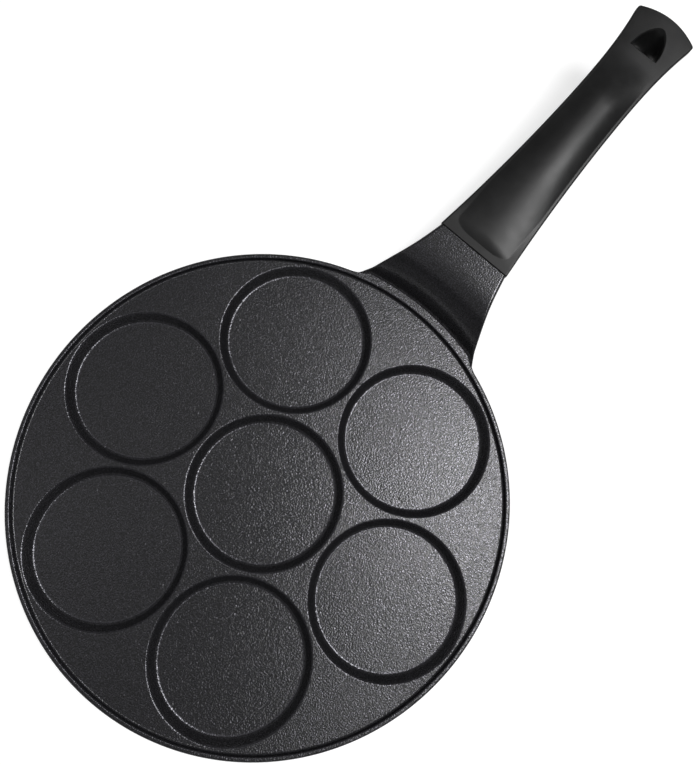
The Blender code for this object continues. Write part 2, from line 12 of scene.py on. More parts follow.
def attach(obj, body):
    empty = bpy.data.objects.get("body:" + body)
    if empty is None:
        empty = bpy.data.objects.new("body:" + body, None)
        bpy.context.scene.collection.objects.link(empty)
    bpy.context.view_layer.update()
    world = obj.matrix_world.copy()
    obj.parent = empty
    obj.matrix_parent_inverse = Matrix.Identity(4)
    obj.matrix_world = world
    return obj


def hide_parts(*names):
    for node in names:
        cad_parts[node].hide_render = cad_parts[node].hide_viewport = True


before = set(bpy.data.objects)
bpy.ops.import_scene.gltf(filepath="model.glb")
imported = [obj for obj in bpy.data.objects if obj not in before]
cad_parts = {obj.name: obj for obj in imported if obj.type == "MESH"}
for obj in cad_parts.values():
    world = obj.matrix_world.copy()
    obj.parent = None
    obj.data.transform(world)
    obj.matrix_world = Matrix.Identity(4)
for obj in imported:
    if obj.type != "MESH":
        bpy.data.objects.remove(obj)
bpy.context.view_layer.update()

LOG = logging.getLogger("pancake_pan")

# Types that come up often
Thing = bpy.types.Object
Paint = bpy.types.Material
Pair = tuple[float, float]
Point = Sequence[float]
Ring = list[Point]
Colour = tuple[float, float, float]


class Slot(Enum):
    """The record's material slots."""

    COATING = "nonstick_coating"
    BAKELITE = "bakelite"
    STEEL = "plated_steel"


class Cut(Enum):
    """What a tool solid does to the solid that it is used on."""

    JOIN = "UNION"
    REMOVE = "DIFFERENCE"


def smoothstep(share: float) -> float:
    """Ease a share from 0 to 1."""
    share = min(max(share, 0.0), 1.0)
    return share * share * (3 - 2 * share)


def even(start: float, end: float, steps: int) -> list[float]:
    """Return evenly spaced numbers from start to end, both ends included."""
    return [start + (end - start) * step / steps for step in range(steps + 1)]


def fillet_arc(corner: Pair, before: Pair, after: Pair, radius: float, steps: int) -> list[Pair]:
    """Round a corner of a profile.

    Args:
        corner: the sharp corner.
        before: a point on the side that leads to the corner.
        after: a point on the side that leaves it.
        radius: radius of the rounding, in metres.
        steps: facets over the rounding.

    Returns:
        Points from the first side to the second.
    """
    tip = Vector(corner)
    back = (Vector(before) - tip).normalized()
    ahead = (Vector(after) - tip).normalized()
    half_angle = back.angle(ahead) / 2
    centre = tip + (back + ahead).normalized() * (radius / sin(half_angle))
    tangent = radius / tan(half_angle)
    start = tip + back * tangent - centre
    sweep = (tip + ahead * tangent - centre).angle_signed(start)
    points = []
    for turn in even(0.0, sweep, steps):
        cosine, sine = cos(turn), sin(turn)
        spoke = Vector((start.x * cosine - start.y * sine, start.x * sine + start.y * cosine))
        points.append(tuple(centre + spoke))
    return points


def rounded(corners: Sequence[Pair], radii: Sequence[float],
            facets: Sequence[int]) -> list[list[Pair]]:
    """Round the inner corners of a profile, each with its own radius and number of facets."""
    sides = zip(corners[1:], corners, corners[2:], radii, facets)
    return [fillet_arc(*side) for side in sides]


def edge_shares(columns: int) -> list[float]:
    """Return places across a section from -1 to 1, closer together at its two edges."""
    return [sin(pi * (column / columns - 0.5)) for column in range(columns + 1)]


def edge_drop(side: float, half_width: float, radius: float) -> float:
    """Return how far a section's rounded edge lies under its flat top."""
    edge = max(0.0, abs(side) - (half_width - radius)) / radius
    return radius * (1 - sqrt(max(0.0, 1 - edge * edge)))


def belly(place: float, fullness: float) -> float:
    """Return the depth of a section's underside: 1 in the middle and 0 at the places -1 and 1."""
    return (1 - abs(place) ** fullness) ** (1 / fullness)


# Shaders and Geometry Nodes


class Signal:
    """A socket of a node tree that can be used in a Python expression."""

    def __init__(self, bench: "NodeBench", socket: bpy.types.NodeSocket) -> None:
        """Keep the tree's bench and the socket."""
        self.bench = bench
        self.socket = socket

    def __add__(self, other: "Value") -> "Signal":
        """Add a value."""
        return self.bench.maths("ADD", self, other)

    __radd__ = __add__

    def __sub__(self, other: "Value") -> "Signal":
        """Take a value away."""
        return self.bench.maths("SUBTRACT", self, other)

    def __rsub__(self, other: "Value") -> "Signal":
        """Take this away from a value."""
        return self.bench.maths("SUBTRACT", other, self)

    def __mul__(self, other: "Value") -> "Signal":
        """Multiply by a value."""
        return self.bench.maths("MULTIPLY", self, other)

    __rmul__ = __mul__

    def __pow__(self, other: "Value") -> "Signal":
        """Raise to a power."""
        return self.bench.maths("POWER", self, other)

    def step(self, low: float, high: float) -> "Signal":
        """Ease from 0 at low to 1 at high."""
        ends = {"Value": self, "From Min": low, "From Max": high}
        return self.bench.out("ShaderNodeMapRange", {"interpolation_type": "SMOOTHSTEP"}, ends)


Value = Signal | float | bool | tuple[float, ...] | list[Signal]
Settings = dict[str, str] | None
Sockets = dict[str | int, Value] | None


@dataclass(frozen=True)
class Noise:
    """A noise: its features per metre, how many finer ones are added, and how strong they are."""

    scale: float
    detail: float = 0.0
    roughness: float = 0.5


Relief = tuple[tuple[Noise, float], ...]


class NodeBench:
    """Adds nodes to one tree."""

    def __init__(self, tree: bpy.types.NodeTree) -> None:
        """Keep the tree."""
        self.tree = tree

    def plug(self, socket: bpy.types.NodeSocket, value: Value) -> None:
        """Link or set one input.

        Args:
            socket: the input.
            value: what it gets; a list links several signals to it.
        """
        for one in value if isinstance(value, list) else [value]:
            if isinstance(one, Signal):
                self.tree.links.new(one.socket, socket)
            elif isinstance(one, tuple) and socket.type == "RGBA":
                socket.default_value = (*one, 1.0)
            else:
                socket.default_value = one

    def add(self, kind: str, settings: Settings = None, sockets: Sockets = None) -> bpy.types.Node:
        """Add one node.

        Args:
            kind: the node's type.
            settings: its properties, set first.
            sockets: values or links of its inputs, by name or number.

        Returns:
            The node.
        """
        node = self.tree.nodes.new(kind)
        for name, value in (settings or {}).items():
            setattr(node, name, value)
        for key, value in (sockets or {}).items():
            named = (socket for socket in node.inputs if socket.enabled and socket.name == key)
            self.plug(node.inputs[key] if isinstance(key, int) else next(named), value)
        return node

    def out(self, kind: str, settings: Settings = None, sockets: Sockets = None) -> Signal:
        """Add one node and return its first output that is in use."""
        node = self.add(kind, settings, sockets)
        return Signal(self, next(socket for socket in node.outputs if socket.enabled))

    def maths(self, operation: str, *values: Value) -> Signal:
        """Add a Math node on values."""
        return self.out("ShaderNodeMath", {"operation": operation}, dict(enumerate(values)))

    def largest(self, *values: Value) -> Signal:
        """Return the largest of some values."""
        return reduce(partial(self.maths, "MAXIMUM"), values)

    def place(self) -> Signal:
        """Return the Object coordinates, in metres in the pan's own frame."""
        return Signal(self, self.add("ShaderNodeTexCoord").outputs["Object"])

    def axes(self) -> list[Signal]:
        """Return the three Object coordinates by themselves."""
        split = self.add("ShaderNodeSeparateXYZ", sockets={"Vector": self.place()})
        return [Signal(self, socket) for socket in split.outputs]

    def noise(self, kind: Noise) -> Signal:
        """Return noise from 0 to 1 over the Object coordinates."""
        return self.out("ShaderNodeTexNoise", {"noise_dimensions": "3D"}, {
            "Vector": self.place(), "Scale": kind.scale, "Detail": kind.detail,
            "Roughness": kind.roughness})

    def blend(self, factor: Value, first: Value, second: Value) -> Signal:
        """Mix two colours by a factor."""
        sockets = {"Factor": factor, "A": first, "B": second}
        return self.out("ShaderNodeMix", {"data_type": "RGBA"}, sockets)

    def bump(self, height: Signal) -> Signal:
        """Return the normal of a relief whose height is in metres."""
        sockets = {"Strength": 1.0, "Distance": 1.0, "Height": height}
        return self.out("ShaderNodeBump", sockets=sockets)


class ShaderTree:
    """A Principled material with a bench for its nodes."""

    def __init__(self, name: str) -> None:
        """Make the material and find its shader.

        Args:
            name: the material's name.
        """
        self.material = bpy.data.materials.new(name)
        self.material.use_nodes = True
        self.bench = NodeBench(self.material.node_tree)
        self.shader = self.material.node_tree.nodes["Principled BSDF"]

    def feed(self, **inputs: Value) -> None:
        """Set or link inputs of the shader; an underscore in a name stands for a space."""
        for name, value in inputs.items():
            self.bench.plug(self.shader.inputs[name.replace("_", " ")], value)


class GeometryTree:
    """A Geometry Nodes tree with named inputs that ends in Realize Instances and Set Material."""

    KINDS = {float: "NodeSocketFloat", int: "NodeSocketInt", Paint: "NodeSocketMaterial"}

    def __init__(self, name: str, **sizes: float | int) -> None:
        """Make the tree.

        Args:
            name: the tree's name.
            sizes: its inputs and what they are set to.
        """
        self.tree = bpy.data.node_groups.new(name, "GeometryNodeTree")
        self.sizes = sizes
        sockets = self.tree.interface.new_socket
        sockets("Geometry", in_out="INPUT", socket_type="NodeSocketGeometry")
        for size, value in sizes.items():
            sockets(size, in_out="INPUT", socket_type=self.KINDS[type(value)])
        sockets("Material", in_out="INPUT", socket_type="NodeSocketMaterial")
        sockets("Geometry", in_out="OUTPUT", socket_type="NodeSocketGeometry")
        self.bench = NodeBench(self.tree)
        self.entry = self.bench.add("NodeGroupInput")

    def given(self, name: str) -> Signal:
        """Return one of the tree's inputs."""
        return Signal(self.bench, self.entry.outputs[name])

    def end(self, shape: Signal) -> None:
        """Close the tree.

        Args:
            shape: what the tree has made.
        """
        plain = self.bench.out("GeometryNodeRealizeInstances", sockets={"Geometry": shape})
        dressed = {"Geometry": plain, "Material": self.given("Material")}
        self.bench.add("NodeGroupOutput", sockets={
            "Geometry": self.bench.out("GeometryNodeSetMaterial", sockets=dressed)})

    def sweep(self, name: str, path: Signal, section: Signal, material: Paint) -> Thing:
        """Close the tree on a bar that follows a path, and run it.

        Args:
            name: the name of the object that it makes.
            path: the curve that the bar follows.
            section: the outline of the bar.
            material: the bar's finish.

        Returns:
            The bar.
        """
        self.end(self.bench.out("GeometryNodeCurveToMesh", sockets={
            "Curve": path, "Profile Curve": section, "Fill Caps": True}))
        return self.run(Solid().make(name), material)

    def run(self, made: Thing, material: Paint | None) -> Thing:
        """Run the tree on an object and keep what it makes as a plain mesh.

        Args:
            made: the object, whose mesh is the tree's Geometry input.
            material: the finish that the result gets.

        Returns:
            The same object.
        """
        modifier = made.modifiers.new(self.tree.name, "NODES")
        modifier.node_group = self.tree
        for item in self.tree.interface.items_tree:
            if item.in_out == "INPUT" and item.name in self.sizes:
                modifier[item.identifier] = self.sizes[item.name]
            elif item.in_out == "INPUT" and item.name == "Material" and material:
                modifier[item.identifier] = material
        return freeze(made)


# Meshes


def freeze(made: Thing) -> Thing:
    """Keep what an object's modifiers make as its own plain mesh.

    Args:
        made: the object.

    Returns:
        The same object.
    """
    graph = bpy.context.evaluated_depsgraph_get()
    mesh = bpy.data.meshes.new_from_object(
        made.evaluated_get(graph), preserve_all_data_layers=True, depsgraph=graph)
    made.modifiers.clear()
    made.data = mesh
    mesh.name = made.name
    return made


class Solid:
    """A closed mesh that is being built from rings or rows of points."""

    def __init__(self) -> None:
        """Start with no points."""
        self.points: list[Point] = []
        self.faces: list[tuple[int, ...]] = []

    def add_points(self, points: Sequence[Point]) -> list[int]:
        """Add points and return their numbers."""
        self.points += [tuple(point) for point in points]
        return list(range(len(self.points) - len(points), len(self.points)))

    def rings(self, rings: Sequence[Ring], closed: bool = False) -> "Solid":
        """Join rings of points, with a flat face at each end, or the last one back to the first.

        Args:
            rings: rings with the same number of points.
            closed: True joins the last ring to the first.

        Returns:
            This solid.
        """
        loops = [self.add_points(ring) for ring in rings]
        pairs = list(zip(loops, loops[1:])) + ([(loops[-1], loops[0])] if closed else [])
        for lower, upper in pairs:
            for index, corner in enumerate(lower):
                after = (index + 1) % len(lower)
                self.faces.append((corner, lower[after], upper[after], upper[index]))
        if not closed:
            self.faces += [tuple(reversed(loops[0])), tuple(loops[-1])]
        return self

    def loft(self, stations: Sequence[tuple[Ring, Ring]]) -> "Solid":
        """Join stations that each have an upper and a lower row of points.

        Args:
            stations: pairs of rows with the same number of points.

        Returns:
            This solid.
        """
        uppers = [self.add_points(upper) for upper, lower in stations]
        lowers = [self.add_points(lower) for upper, lower in stations]
        last = len(uppers[0]) - 1
        for upper, upper_next, lower, lower_next in zip(uppers, uppers[1:], lowers, lowers[1:]):
            for near, far in zip(range(last), range(1, last + 1)):
                self.faces.append((upper[near], upper_next[near], upper_next[far], upper[far]))
                self.faces.append((lower[near], lower[far], lower_next[far], lower_next[near]))
            self.faces.append((upper[0], lower[0], lower_next[0], upper_next[0]))
            self.faces.append((upper[last], upper_next[last], lower_next[last], lower[last]))
        for upper, lower, step in ((uppers[0], lowers[0], 1), (uppers[-1], lowers[-1], -1)):
            for column in range(last):
                face = (upper[column], upper[column + 1], lower[column + 1], lower[column])
                self.faces.append(face[::step])
        return self

    def make(self, name: str, material: Paint | None = None) -> Thing:
        """Turn what was built into an object.

        Args:
            name: the object's name.
            material: its finish.

        Returns:
            The object, at the origin.
        """
        mesh = bpy.data.meshes.new(name)
        mesh.from_pydata(self.points, [], self.faces)
        mesh.validate()
        made = bpy.data.objects.new(name, mesh)
        bpy.context.scene.collection.objects.link(made)
        if material:
            mesh.materials.append(material)
        return made


def turned(profile: Sequence[Pair], angles: Sequence[float],
           widen: Callable[[float], float] | None = None) -> list[Ring]:
    """Turn a profile about the upright axis.

    Args:
        profile: (radius, height) pairs.
        angles: the angles of each ring's points.
        widen: gives a radius more by its angle.

    Returns:
        One ring for each pair.
    """
    extra = [widen(angle) if widen else 0.0 for angle in angles]
    return [[((radius + more) * cos(angle), (radius + more) * sin(angle), height)
             for angle, more in zip(angles, extra)] for radius, height in profile]


def around(segments: int) -> list[float]:
    """Return evenly spaced angles round a circle."""
    return even(0.0, 2 * pi, segments)[:-1]


def spun(name: str, profile: Sequence[Pair], segments: int) -> Thing:
    """Return the round solid of a profile, which goes from its lower end to its upper one."""
    return Solid().rings(turned(profile, around(segments))).make(name)


def smooth(made: Thing, sharp_angle: float = 32.0) -> Thing:
    """Shade an object smooth, with flat faces kept flat and its sharp edges kept sharp.

    Args:
        made: the object.
        sharp_angle: edges that turn by more than this stay sharp, in degrees.

    Returns:
        The same object.
    """
    made.data.shade_smooth()
    made.data.set_sharp_from_angle(angle=radians(sharp_angle))
    modifier = made.modifiers.new("flat_faces", "WEIGHTED_NORMAL")
    modifier.mode, modifier.keep_sharp = "FACE_AREA", True
    return freeze(made)


def carve(target: Thing, finish: Paint, *steps: tuple[Cut, Thing]) -> Thing:
    """Use tool solids on a target in turn and discard them, then dress and smooth the target.

    Args:
        target: the solid that changes.
        finish: its material.
        steps: each tool solid, and what it does to the target.

    Returns:
        The target.
    """
    for cut, tool in steps:
        modifier = target.modifiers.new(tool.name, "BOOLEAN")
        modifier.operation, modifier.solver, modifier.object = cut.value, "EXACT", tool
        freeze(target)
        bpy.data.objects.remove(tool, do_unlink=True)
    target.data.materials.clear()
    target.data.materials.append(finish)
    return smooth(target)


def hand_over(made: Thing, node: str, slot: Slot) -> None:
    """Let a finished piece stand for its CAD node.

    Args:
        made: the piece.
        node: the CAD node.
        slot: the record's material slot.
    """
    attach(made, "root")
    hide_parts(node)
    LOG.info("%s: %d faces, %s", made.name, len(made.data.polygons), slot.value)


# Finishes


@dataclass(frozen=True)
class Coating:
    """Dark satin coating with glinting specks, bare turned metal on the feet, and edge bands of
    rubbed wear and painted highlight.
    """

    disc: "Disc"
    base: Colour = (0.0098, 0.0097, 0.0107)
    # Colour of the glinting specks, and of the painted highlight on the edge bands.
    flake_and_glint: Colour = (0.068, 0.067, 0.075)
    metal: Colour = (0.72, 0.72, 0.73)
    specular: float = 0.36
    roughness: float = 0.18
    metal_roughness: float = 0.36
    flakes_and_glints: Noise = Noise(1450.0)
    flake_edge: Pair = (0.42, 0.70)
    flake_share: float = 0.85
    grain: Noise = Noise(1350.0)
    grain_depth: float = 0.000135
    # Width, break-up and strength of the edge bands of rubbed wear and painted highlight.
    rubbed_glint_width: float = 0.0007
    rubbed_glint_edge: Pair = (0.20, 0.45)
    rubbed_glint_share: float = 0.75
    neck_grain: float = 0.45
    neck_flakes: float = 0.95
    neck_blend: float = 0.006
    bare_height: float = 0.00006
    groove_pitch: float = 0.0004
    groove_depth: float = 0.000006

    def rubbed_and_glint(self, bench: NodeBench, axes: Sequence[Signal], reach: Signal) -> Signal:
        """Return the edge bands that are partly rubbed thin by use and partly painted highlight.

        Args:
            bench: the material's nodes.
            axes: the three coordinates.
            reach: distance from the pan's axis.

        Returns:
            1 on the moulds' lips and floor corners and the rim's inner edge, and 0 elsewhere.
        """
        moulds = self.disc.moulds
        sector = 2 * pi / moulds.ring_count
        bearing = bench.maths("ARCTAN2", axes[1], axes[0]) - moulds.turn
        ahead = bench.maths("COSINE", bench.maths("WRAP", bearing, sector / 2, -sector / 2))
        shared = reach * ahead * (2 * moulds.pitch)
        ring = bench.maths("SQRT", reach ** 2 + moulds.pitch ** 2 - shared)
        near = bench.maths("MINIMUM", reach, ring)
        corner = moulds.floor_radius - moulds.floor_fillet / 3
        bands = []
        circles = ((near, moulds.radius), (near, corner), (reach, self.disc.inner_radius))
        for place, radius in circles:
            off = bench.maths("ABSOLUTE", place - radius)
            bands.append(1 - off.step(self.rubbed_glint_width / 2, self.rubbed_glint_width))
        above = moulds.floor_thickness - moulds.land / 2
        return bench.largest(*bands) * bench.maths("GREATER_THAN", axes[2], above)

    def make(self) -> Paint:
        """Mix the coating.

        Returns:
            The material.
        """
        finish = ShaderTree("speckled_coating")
        bench = finish.bench
        axes = bench.axes()
        bare = bench.maths("LESS_THAN", axes[2], self.bare_height)
        reach = bench.maths("SQRT", axes[0] ** 2 + axes[1] ** 2)
        sparkle = bench.noise(self.flakes_and_glints)
        # Edge bands get a brighter metal colour: partly rubbed coating, partly painted highlight on
        # the lips, floor corners and rim edge.
        rubbed_and_glint = self.rubbed_and_glint(bench, axes, reach) * sparkle.step(*self.rubbed_glint_edge)
        neck = reach.step(self.disc.radius, self.disc.radius + self.neck_blend)
        speckle = sparkle.step(*self.flake_edge) * self.flake_share
        speckle *= 1 - neck * (1 - self.neck_flakes)
        flakes_and_glints = bench.largest(speckle, rubbed_and_glint * self.rubbed_glint_share)
        grooves = bench.maths("SINE", reach * (2 * pi / self.groove_pitch))
        grain = bench.noise(self.grain) * (1 - neck * (1 - self.neck_grain))
        relief = bare * grooves * (self.groove_depth / 2) + (1 - bare) * grain * self.grain_depth
        finish.feed(
            Base_Color=bench.blend(bare, bench.blend(flakes_and_glints, self.base, self.flake_and_glint), self.metal),
            Specular_IOR_Level=self.specular,
            Metallic=bench.largest(bare, flakes_and_glints),
            Roughness=self.roughness + bare * (self.metal_roughness - self.roughness),
            Normal=bench.bump(relief))
        return finish.material


@dataclass(frozen=True)
class Clouded:
    """A finish with faint clouds in its colour and roughness, over noises of given depths."""

    name: str
    base: Colour
    cloud: Colour
    clouds: Noise
    cloud_edge: Pair
    roughness: float
    spread: float
    relief: Relief
    specular: float = 0.5
    metallic: float = 0.0

    def make(self) -> Paint:
        """Mix the finish.

        Returns:
            The material.
        """
        finish = ShaderTree(self.name)
        bench = finish.bench
        clouds = bench.noise(self.clouds).step(*self.cloud_edge)
        finish.feed(
            Base_Color=bench.blend(clouds, self.base, self.cloud),
            Specular_IOR_Level=self.specular,
            Metallic=self.metallic,
            Roughness=self.roughness + self.spread * clouds,
            Normal=bench.bump(sum(bench.noise(noise) * depth for noise, depth in self.relief)))
        return finish.material


@dataclass(frozen=True)
class Bakelite(Clouded):
    """Matte black moulded phenolic."""

    name: str = "black_bakelite"
    base: Colour = (0.0130, 0.0130, 0.0132)
    cloud: Colour = (0.0160, 0.0160, 0.0163)
    clouds: Noise = Noise(110.0, 4.0, 0.6)
    cloud_edge: Pair = (0.30, 0.72)
    roughness: float = 0.285
    spread: float = 0.05
    relief: Relief = ((Noise(2200.0, 2.0, 0.6), 0.000004), (Noise(60.0, 1.0), 0.00004))
    specular: float = 0.195


@dataclass(frozen=True)
class PlatedSteel(Clouded):
    """Bright zinc-plated steel, a little clouded."""

    name: str = "zinc_plated_steel"
    base: Colour = (0.66, 0.66, 0.64)
    cloud: Colour = (0.46, 0.46, 0.45)
    clouds: Noise = Noise(700.0, 4.0, 0.6)
    cloud_edge: Pair = (0.35, 0.75)
    roughness: float = 0.26
    spread: float = 0.16
    relief: Relief = ((Noise(4000.0, 2.0), 0.000001),)
    metallic: float = 1.0


@dataclass(frozen=True)
class StudioWhite:
    """White floor that keeps the object's shadow and looks white where nothing shades it."""

    paint: Colour = (0.55, 0.55, 0.55)
    wall: Colour = (0.22, 0.22, 0.22)
    lift: float = 0.65
    wall_lift: float = 0.10
    fade_height: float = 0.45

    def make(self) -> Paint:
        """Mix the floor's finish, whose lift to white fades to a pale grey up the wall.

        Returns:
            The material.
        """
        finish = ShaderTree("studio_white")
        bench = finish.bench
        rays = bench.add("ShaderNodeLightPath")
        seen = bench.largest(*(Signal(bench, rays.outputs[f"Is {kind} Ray"])
                               for kind in ("Camera", "Glossy", "Transmission")))
        low = 1 - bench.axes()[2].step(0.0, self.fade_height)
        colour = bench.blend(low, self.wall, self.paint)
        plain = bench.out("ShaderNodeBsdfDiffuse", sockets={"Color": colour})
        lift = low * (self.lift - self.wall_lift) + self.wall_lift
        glow = bench.out("ShaderNodeEmission", sockets={"Color": (1.0, 1.0, 1.0), "Strength": lift})
        bright = bench.out("ShaderNodeAddShader", sockets={0: plain, 1: glow})
        shown = bench.out("ShaderNodeMixShader", sockets={0: seen, 1: plain, 2: bright})
        bench.plug(finish.material.node_tree.nodes["Material Output"].inputs["Surface"], shown)
        return finish.material


# The casting


@dataclass
class Moulds:
    """Seven shallow round moulds: one in the middle and a ring of them round it.

    hollow_facets are those of the fillets at a mould's lip and at its floor.
    """

    ring_count: int = 6
    radius: float = 0.0423
    depth: float = 0.0055
    draft: float = radians(33)
    lip_fillet: float = 0.0013
    floor_fillet: float = 0.0022
    land: float = 0.0023
    turn: float = radians(30)
    floor_thickness: float = 0.0040
    foot_wall: float = 0.0022
    foot_fillet: float = 0.0008
    clearance: float = 0.00002
    hollow_facets: tuple[int, int] = (10, 8)
    foot_facets: int = 5
    segments: int = 144

    @property
    def pitch(self) -> float:
        """Distance from the middle mould to each of the others."""
        return 2 * self.radius + self.land

    @property
    def plate_top(self) -> float:
        """Height of the plate's surface."""
        return self.floor_thickness + self.depth

    @property
    def floor_radius(self) -> float:
        """Radius of a mould's flat floor, before its corner is rounded."""
        return self.radius - self.depth * tan(self.draft)

    def repeat(self, name: str, profile: Sequence[Pair]) -> Thing:
        """Turn one solid and repeat it at the place of each mould.

        Args:
            name: the object's name.
            profile: (radius, height) pairs from one end of the solid to the other.

        Returns:
            One object with all of them.
        """
        one = spun(name, profile, self.segments)
        tree = GeometryTree(
            "ring_of_" + name, Count=self.ring_count, Pitch=self.pitch, Turn=self.turn)
        bench = tree.bench
        ring = bench.out("GeometryNodeMeshCircle", sockets={
            "Vertices": tree.given("Count"), "Radius": tree.given("Pitch")})
        turn = bench.out("ShaderNodeCombineXYZ", sockets={"Z": tree.given("Turn")})
        ring = bench.out("GeometryNodeTransform", sockets={"Geometry": ring, "Rotation": turn})
        ring = bench.out("GeometryNodeMeshToPoints", sockets={"Mesh": ring})
        middle = bench.out("GeometryNodePoints", sockets={"Count": 1})
        places = bench.out("GeometryNodeJoinGeometry", sockets={"Geometry": [ring, middle]})
        tree.end(bench.out("GeometryNodeInstanceOnPoints", sockets={
            "Points": places, "Instance": tree.given("Geometry")}))
        return tree.run(one, None)

    def hollows(self, clear_height: float) -> Thing:
        """Return the solids that the moulds are cut with.

        Args:
            clear_height: the height that they reach up to.

        Returns:
            One object with all of them.
        """
        corners = [(2 * self.radius, self.plate_top), (self.radius, self.plate_top),
                   (self.floor_radius, self.floor_thickness), (0.0, self.floor_thickness)]
        lip, floor = rounded(corners, (self.lip_fillet, self.floor_fillet), self.hollow_facets)
        widest = lip[0][0]
        above = (widest, self.plate_top + self.clearance)
        return self.repeat("moulds", [(widest, clear_height), above, *lip[1:], *floor][::-1])

    def feet(self, root_height: float) -> Thing:
        """Return the flat foot under each mould.

        Args:
            root_height: the height that they reach up to.

        Returns:
            One object with all of them.
        """
        root = (self.radius, root_height)
        foot = (self.floor_radius + self.foot_wall, 0.0)
        edge = fillet_arc(foot, (0.0, 0.0), root, self.foot_fillet, self.foot_facets)
        return self.repeat("feet", [*edge, root])


@dataclass
class Disc:
    """The plate with its low rim and skirt, turned as one profile.

    facets are those of its six fillets, from the rim's foot over the skirt to the underside. The
    neck sets ear_start, the angle at which the rim's widening begins to run out.
    """

    moulds: Moulds
    plate_thickness: float = 0.0030
    rim_height: float = 0.0032
    rim_width: float = 0.0028
    rim_lean: float = 0.0005
    rim_fillet: float = 0.0011
    edge_fillet: float = 0.0006
    foot_fillet: float = 0.0010
    inner_fillet: float = 0.0007
    skirt_thickness: float = 0.0026
    skirt_lift: float = 0.0015
    skirt_draft: float = radians(12)
    ear_width: float = 0.0028
    ear_start: float = 0.0
    ear_runout: float = 0.0108
    ear_power: float = 1.6
    ear_facets: int = 24
    facets: tuple[int, ...] = (8, 8, 9, 5, 5, 6)
    segments: int = 480

    @property
    def inner_radius(self) -> float:
        """Radius inside the rim, at its top."""
        return self.moulds.pitch + self.moulds.radius + self.moulds.land

    @property
    def radius(self) -> float:
        """The pan's radius."""
        return self.inner_radius + self.rim_width

    @property
    def rim_top(self) -> float:
        """Height of the rim's top."""
        return self.moulds.plate_top + self.rim_height

    @property
    def underside(self) -> float:
        """Height of the plate's underside."""
        return self.moulds.plate_top - self.plate_thickness

    def ear(self, angle: float) -> float:
        """Return how far the rim widens at an angle from the handle."""
        gone = (abs(remainder(angle, 2 * pi)) - self.ear_start) * self.radius / self.ear_runout
        return self.ear_width * (1 - min(max(gone, 0.0), 1.0)) ** self.ear_power

    def angles(self) -> list[float]:
        """Return the disc's angles, closer together where the rim's widening runs out.

        Returns:
            The angles from the handle's line, in order.
        """
        end = self.ear_start + self.ear_runout / self.radius
        runout = even(self.ear_start, end, self.ear_facets)
        fine = [side * angle % (2 * pi) for side in (-1, 1) for angle in runout]
        return sorted(set(around(self.segments) + fine))

    def build(self) -> Thing:
        """Return the disc as one solid.

        Returns:
            The disc, whose rim widens where the neck leaves it.
        """
        top, edge, draft = self.moulds.plate_top, self.edge_fillet, tan(self.skirt_draft)
        foot = (self.inner_radius - self.rim_lean, top)
        inner = (self.inner_radius, self.rim_top)
        outer = (self.radius, self.rim_top)
        skirt = (self.radius - (self.rim_top - self.skirt_lift) * draft, self.skirt_lift)
        inside = (skirt[0] - self.skirt_thickness, self.skirt_lift)
        under = (inside[0] + (self.underside - self.skirt_lift) * draft / 2, self.underside)
        corners = [(0.0, top), foot, inner, outer, skirt, inside, under, (0.0, self.underside)]
        radii = (self.foot_fillet, self.inner_fillet, self.rim_fillet, edge, edge, 2 * edge)
        arcs = rounded(corners, radii, self.facets)
        rings, angles = [], self.angles()
        for arc, widen in zip(arcs, (None, None, self.ear, self.ear, None, None)):
            rings += turned(arc, angles, widen)
        return Solid().rings(rings[::-1]).make("pan")


@dataclass
class GripLine:
    """The handle's own straight frame, with its origin at the seam, on the handle's top edge."""

    disc: Disc
    neck_reach: float = 0.0387
    neck_rise: float = 0.0218
    incline: float = radians(8)

    @property
    def seam(self) -> Vector:
        """The frame's origin."""
        return Vector((self.disc.radius + self.neck_reach, 0.0, self.disc.rim_top + self.neck_rise))

    def point(self, distance: float, side: float, height: float) -> Point:
        """Return the place of a point on the handle.

        Args:
            distance: from the seam, along the handle.
            side: from the handle's middle plane.
            height: above the handle's top edge.

        Returns:
            The place in the pan's own frame.
        """
        cosine, sine, seam = cos(self.incline), sin(self.incline), self.seam
        return (seam.x + cosine * distance - sine * height, side,
                seam.z + sine * distance + cosine * height)

    def matrix(self, distance: float, height: float) -> Matrix:
        """Return the turn and place of something that stands on the handle's line."""
        place = self.point(distance, 0.0, height)
        return Matrix.Translation(place) @ Matrix.Rotation(-self.incline, 4, "Y")


